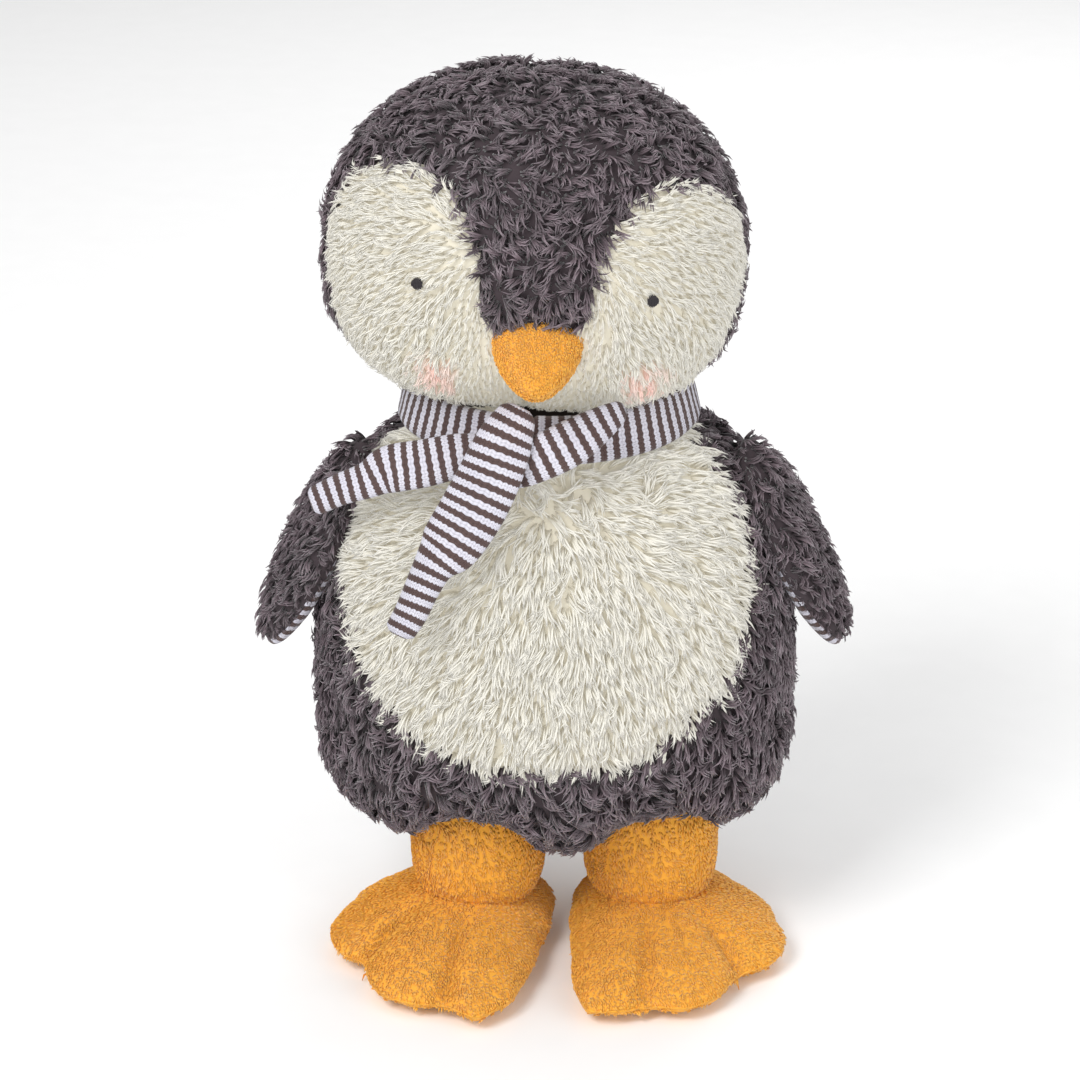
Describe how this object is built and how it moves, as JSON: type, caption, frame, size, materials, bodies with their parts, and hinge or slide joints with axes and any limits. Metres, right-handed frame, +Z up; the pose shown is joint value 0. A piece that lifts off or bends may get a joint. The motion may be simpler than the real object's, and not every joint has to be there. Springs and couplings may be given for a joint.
{
  "type": "plush penguin",
  "caption": "Soft stuffed penguin toy with sewn plush panels, a head that turns and nods, wings, legs and webbed feet that swing, and a knotted striped scarf.",
  "frame": {"origin": "on the ground, at the middle of the toy's outline seen from above", "axes": "+Z up, the toy faces -Y, its own left side is +X"},
  "size_m": [0.1976, 0.1464, 0.3063],
  "materials": {
    "dark_plush": "matte",
    "cream_plush": "matte",
    "orange_plush": "matte",
    "striped_jersey": "matte",
    "eye_thread": "matte",
    "fibre_filling": "matte",
    "pouch_cloth": "matte",
    "label_tape": "matte"
  },
  "bodies": {
    "root": {"body_front_border": "dark_plush", "belly_panel": "cream_plush", "body_back_left": "dark_plush", "body_back_right": "dark_plush", "body_stuffing": "fibre_filling", "pellet_pouch": "pouch_cloth", "care_label": "label_tape", "scarf_band": "striped_jersey", "scarf_knot": "striped_jersey"},
    "neck_turner": {"neck_stuffing": "fibre_filling"},
    "neck_tilter": {"neck_tube": "dark_plush"},
    "head": {"head_crown": "dark_plush", "face_left": "cream_plush", "face_right": "cream_plush", "head_back_left": "dark_plush", "head_back_right": "dark_plush", "head_stuffing": "fibre_filling", "beak_top": "orange_plush", "beak_underside": "orange_plush", "beak_stuffing": "fibre_filling", "eye_left": "eye_thread", "eye_right": "eye_thread"},
    "scarf_front": {"scarf_tail_front": "striped_jersey"},
    "scarf_side": {"scarf_tail_side": "striped_jersey"},
    "left_wing": {"left_wing_outer": "dark_plush", "left_wing_lining": "striped_jersey", "left_wing_stuffing": "fibre_filling"},
    "left_leg": {"left_leg_cover": "orange_plush", "left_leg_stuffing": "fibre_filling"},
    "left_foot": {"left_foot_upper": "orange_plush", "left_foot_stuffing": "fibre_filling", "left_foot_sole": "orange_plush", "left_toe_stitch_1": "orange_plush", "left_toe_stitch_2": "orange_plush"},
    "right_wing": {"right_wing_outer": "dark_plush", "right_wing_lining": "striped_jersey", "right_wing_stuffing": "fibre_filling"},
    "right_leg": {"right_leg_cover": "orange_plush", "right_leg_stuffing": "fibre_filling"},
    "right_foot": {"right_foot_upper": "orange_plush", "right_foot_stuffing": "fibre_filling", "right_foot_sole": "orange_plush", "right_toe_stitch_1": "orange_plush", "right_toe_stitch_2": "orange_plush"}
  },
  "joints": [
    {"name": "head_turn", "type": "hinge", "parent": "root", "child": "neck_turner", "pos_m": [-0.002, 0.0144, 0.195], "axis": [0, 0, 1], "range_deg": [-20, 20], "stiffness_Nm_per_rad": 0.3},
    {"name": "head_tilt", "type": "hinge", "parent": "neck_turner", "child": "neck_tilter", "pos_m": [-0.002, 0.0144, 0.195], "axis": [0, 1, 0], "range_deg": [-4, 4], "stiffness_Nm_per_rad": 1},
    {"name": "head_nod", "type": "hinge", "parent": "neck_tilter", "child": "head", "pos_m": [-0.002, 0.0144, 0.195], "axis": [1, 0, 0], "range_deg": [-6, 6], "stiffness_Nm_per_rad": 1},
    {"name": "left_hip_swing", "type": "hinge", "parent": "root", "child": "left_leg", "pos_m": [0.0335, 0.0084, 0.04], "axis": [1, 0, 0], "range_deg": [-30, 30], "stiffness_Nm_per_rad": 2},
    {"name": "left_foot_tilt", "type": "hinge", "parent": "left_leg", "child": "left_foot", "pos_m": [0.0335, 0.0084, 0.0225], "axis": [1, 0, 0], "range_deg": [-20, 20], "stiffness_Nm_per_rad": 2},
    {"name": "left_wing_flap", "type": "hinge", "parent": "root", "child": "left_wing", "pos_m": [0.064, 0.0064, 0.178], "axis": [0, -1, 0], "range_deg": [0, 70]},
    {"name": "right_hip_swing", "type": "hinge", "parent": "root", "child": "right_leg", "pos_m": [-0.0265, 0.0084, 0.04], "axis": [1, 0, 0], "range_deg": [-30, 30], "stiffness_Nm_per_rad": 2},
    {"name": "right_foot_tilt", "type": "hinge", "parent": "right_leg", "child": "right_foot", "pos_m": [-0.0265, 0.0084, 0.0225], "axis": [1, 0, 0], "range_deg": [-20, 20], "stiffness_Nm_per_rad": 2},
    {"name": "right_wing_flap", "type": "hinge", "parent": "root", "child": "right_wing", "pos_m": [-0.064, 0.0064, 0.178], "axis": [0, 1, 0], "range_deg": [0, 70]},
    {"name": "scarf_front_lift", "type": "hinge", "parent": "root", "child": "scarf_front", "pos_m": [-0.017, -0.0451, 0.203], "axis": [-1, 0, 0], "range_deg": [0, 60]},
    {"name": "scarf_side_lift", "type": "hinge", "parent": "root", "child": "scarf_side", "pos_m": [-0.023, -0.0356, 0.195], "axis": [0, 1, 0], "range_deg": [0, 30]}
  ]
}
